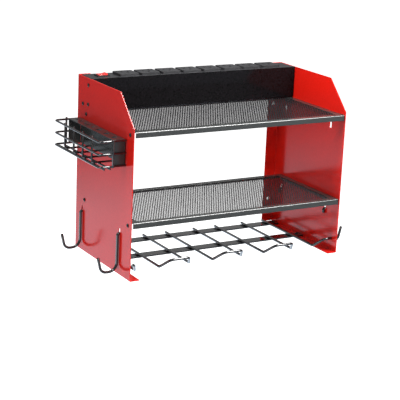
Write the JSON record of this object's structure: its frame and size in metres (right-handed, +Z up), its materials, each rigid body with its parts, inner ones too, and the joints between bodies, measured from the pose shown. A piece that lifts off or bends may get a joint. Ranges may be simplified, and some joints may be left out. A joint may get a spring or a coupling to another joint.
{
  "type": "wall mounted power tool organizer",
  "caption": "Sheet steel wall rack with perforated shelves, a power strip with switch, a wire rack for drills, hooks and a side basket for hand tools",
  "frame": {"origin": "centre of the four wall holes, on the wall plane at the back of the flanges", "axes": "+X to the viewer's right along the shelves, +Y into the wall, -Y to the front, +Z up"},
  "size_m": [0.5214, 0.22, 0.3234],
  "materials": {
    "red_steel": "glossy powder coat",
    "shelf_steel": "satin powder coat",
    "gloss_steel": "high gloss enamel",
    "wire_steel": "gloss powder coat",
    "zinc": "zinc plated",
    "black_screw": "black oxide",
    "black_plastic": "moulded",
    "grey_plastic": "moulded",
    "outlet_plastic": "moulded",
    "red_plastic": "glossy",
    "brass": "plain"
  },
  "bodies": {
    "frame": {"bus_bar_1": "brass", "bus_bar_2": "brass", "bus_bar_3": "brass", "cord_gland": "black_plastic", "left_panel": "red_steel", "middle_shelf": "shelf_steel", "outlet_1": "outlet_plastic", "outlet_2": "outlet_plastic", "outlet_3": "outlet_plastic", "outlet_4": "outlet_plastic", "outlet_5": "outlet_plastic", "outlet_6": "outlet_plastic", "outlet_7": "outlet_plastic", "outlet_8": "outlet_plastic", "rack_bar_front": "wire_steel", "rack_bar_rear": "wire_steel", "rack_end_left": "wire_steel", "rack_end_right": "wire_steel", "rack_loop_centre": "wire_steel", "rack_loop_left": "wire_steel", "rack_loop_right": "wire_steel", "right_panel": "red_steel", "strip_apron": "gloss_steel", "strip_bracket_left": "shelf_steel", "strip_bracket_right": "shelf_steel", "strip_cover": "grey_plastic", "strip_housing": "black_plastic", "switch_frame": "grey_plastic", "top_shelf": "shelf_steel"},
    "rocker": {"rocker": "red_plastic"},
    "side_basket": {"tool_rack": "shelf_steel", "basket_hoop_1": "wire_steel", "basket_hoop_2": "wire_steel", "basket_hoop_3": "wire_steel", "basket_rib_1": "wire_steel", "basket_rib_2": "wire_steel", "basket_rib_3": "wire_steel", "basket_rib_4": "wire_steel", "basket_floor_wire_1": "wire_steel", "basket_floor_wire_2": "wire_steel"},
    "hook_left_front": {"hook_left_front": "wire_steel"},
    "hook_left_rear": {"hook_left_rear": "wire_steel"},
    "hook_right_front": {"hook_right_front": "wire_steel"},
    "hook_right_rear": {"hook_right_rear": "wire_steel"}
  },
  "joints": [
    {"name": "rocker_hinge", "type": "hinge", "parent": "frame", "child": "rocker", "pos_m": [-0.181, -0.028, 0.175], "axis": [0, 1, 0], "range_deg": [0, 14]},
    {"name": "side_basket_lift", "type": "slide", "parent": "frame", "child": "side_basket", "axis": [0, 0, 1], "range_m": [0, 0.0064]},
    {"name": "hook_left_front_lift", "type": "slide", "parent": "frame", "child": "hook_left_front", "axis": [0, 0, 1], "range_m": [0, 0.007]},
    {"name": "hook_left_rear_lift", "type": "slide", "parent": "frame", "child": "hook_left_rear", "axis": [0, 0, 1], "range_m": [0, 0.007]},
    {"name": "hook_right_front_lift", "type": "slide", "parent": "frame", "child": "hook_right_front", "axis": [0, 0, 1], "range_m": [0, 0.007]},
    {"name": "hook_right_rear_lift", "type": "slide", "parent": "frame", "child": "hook_right_rear", "axis": [0, 0, 1], "range_m": [0, 0.007]}
  ]
}
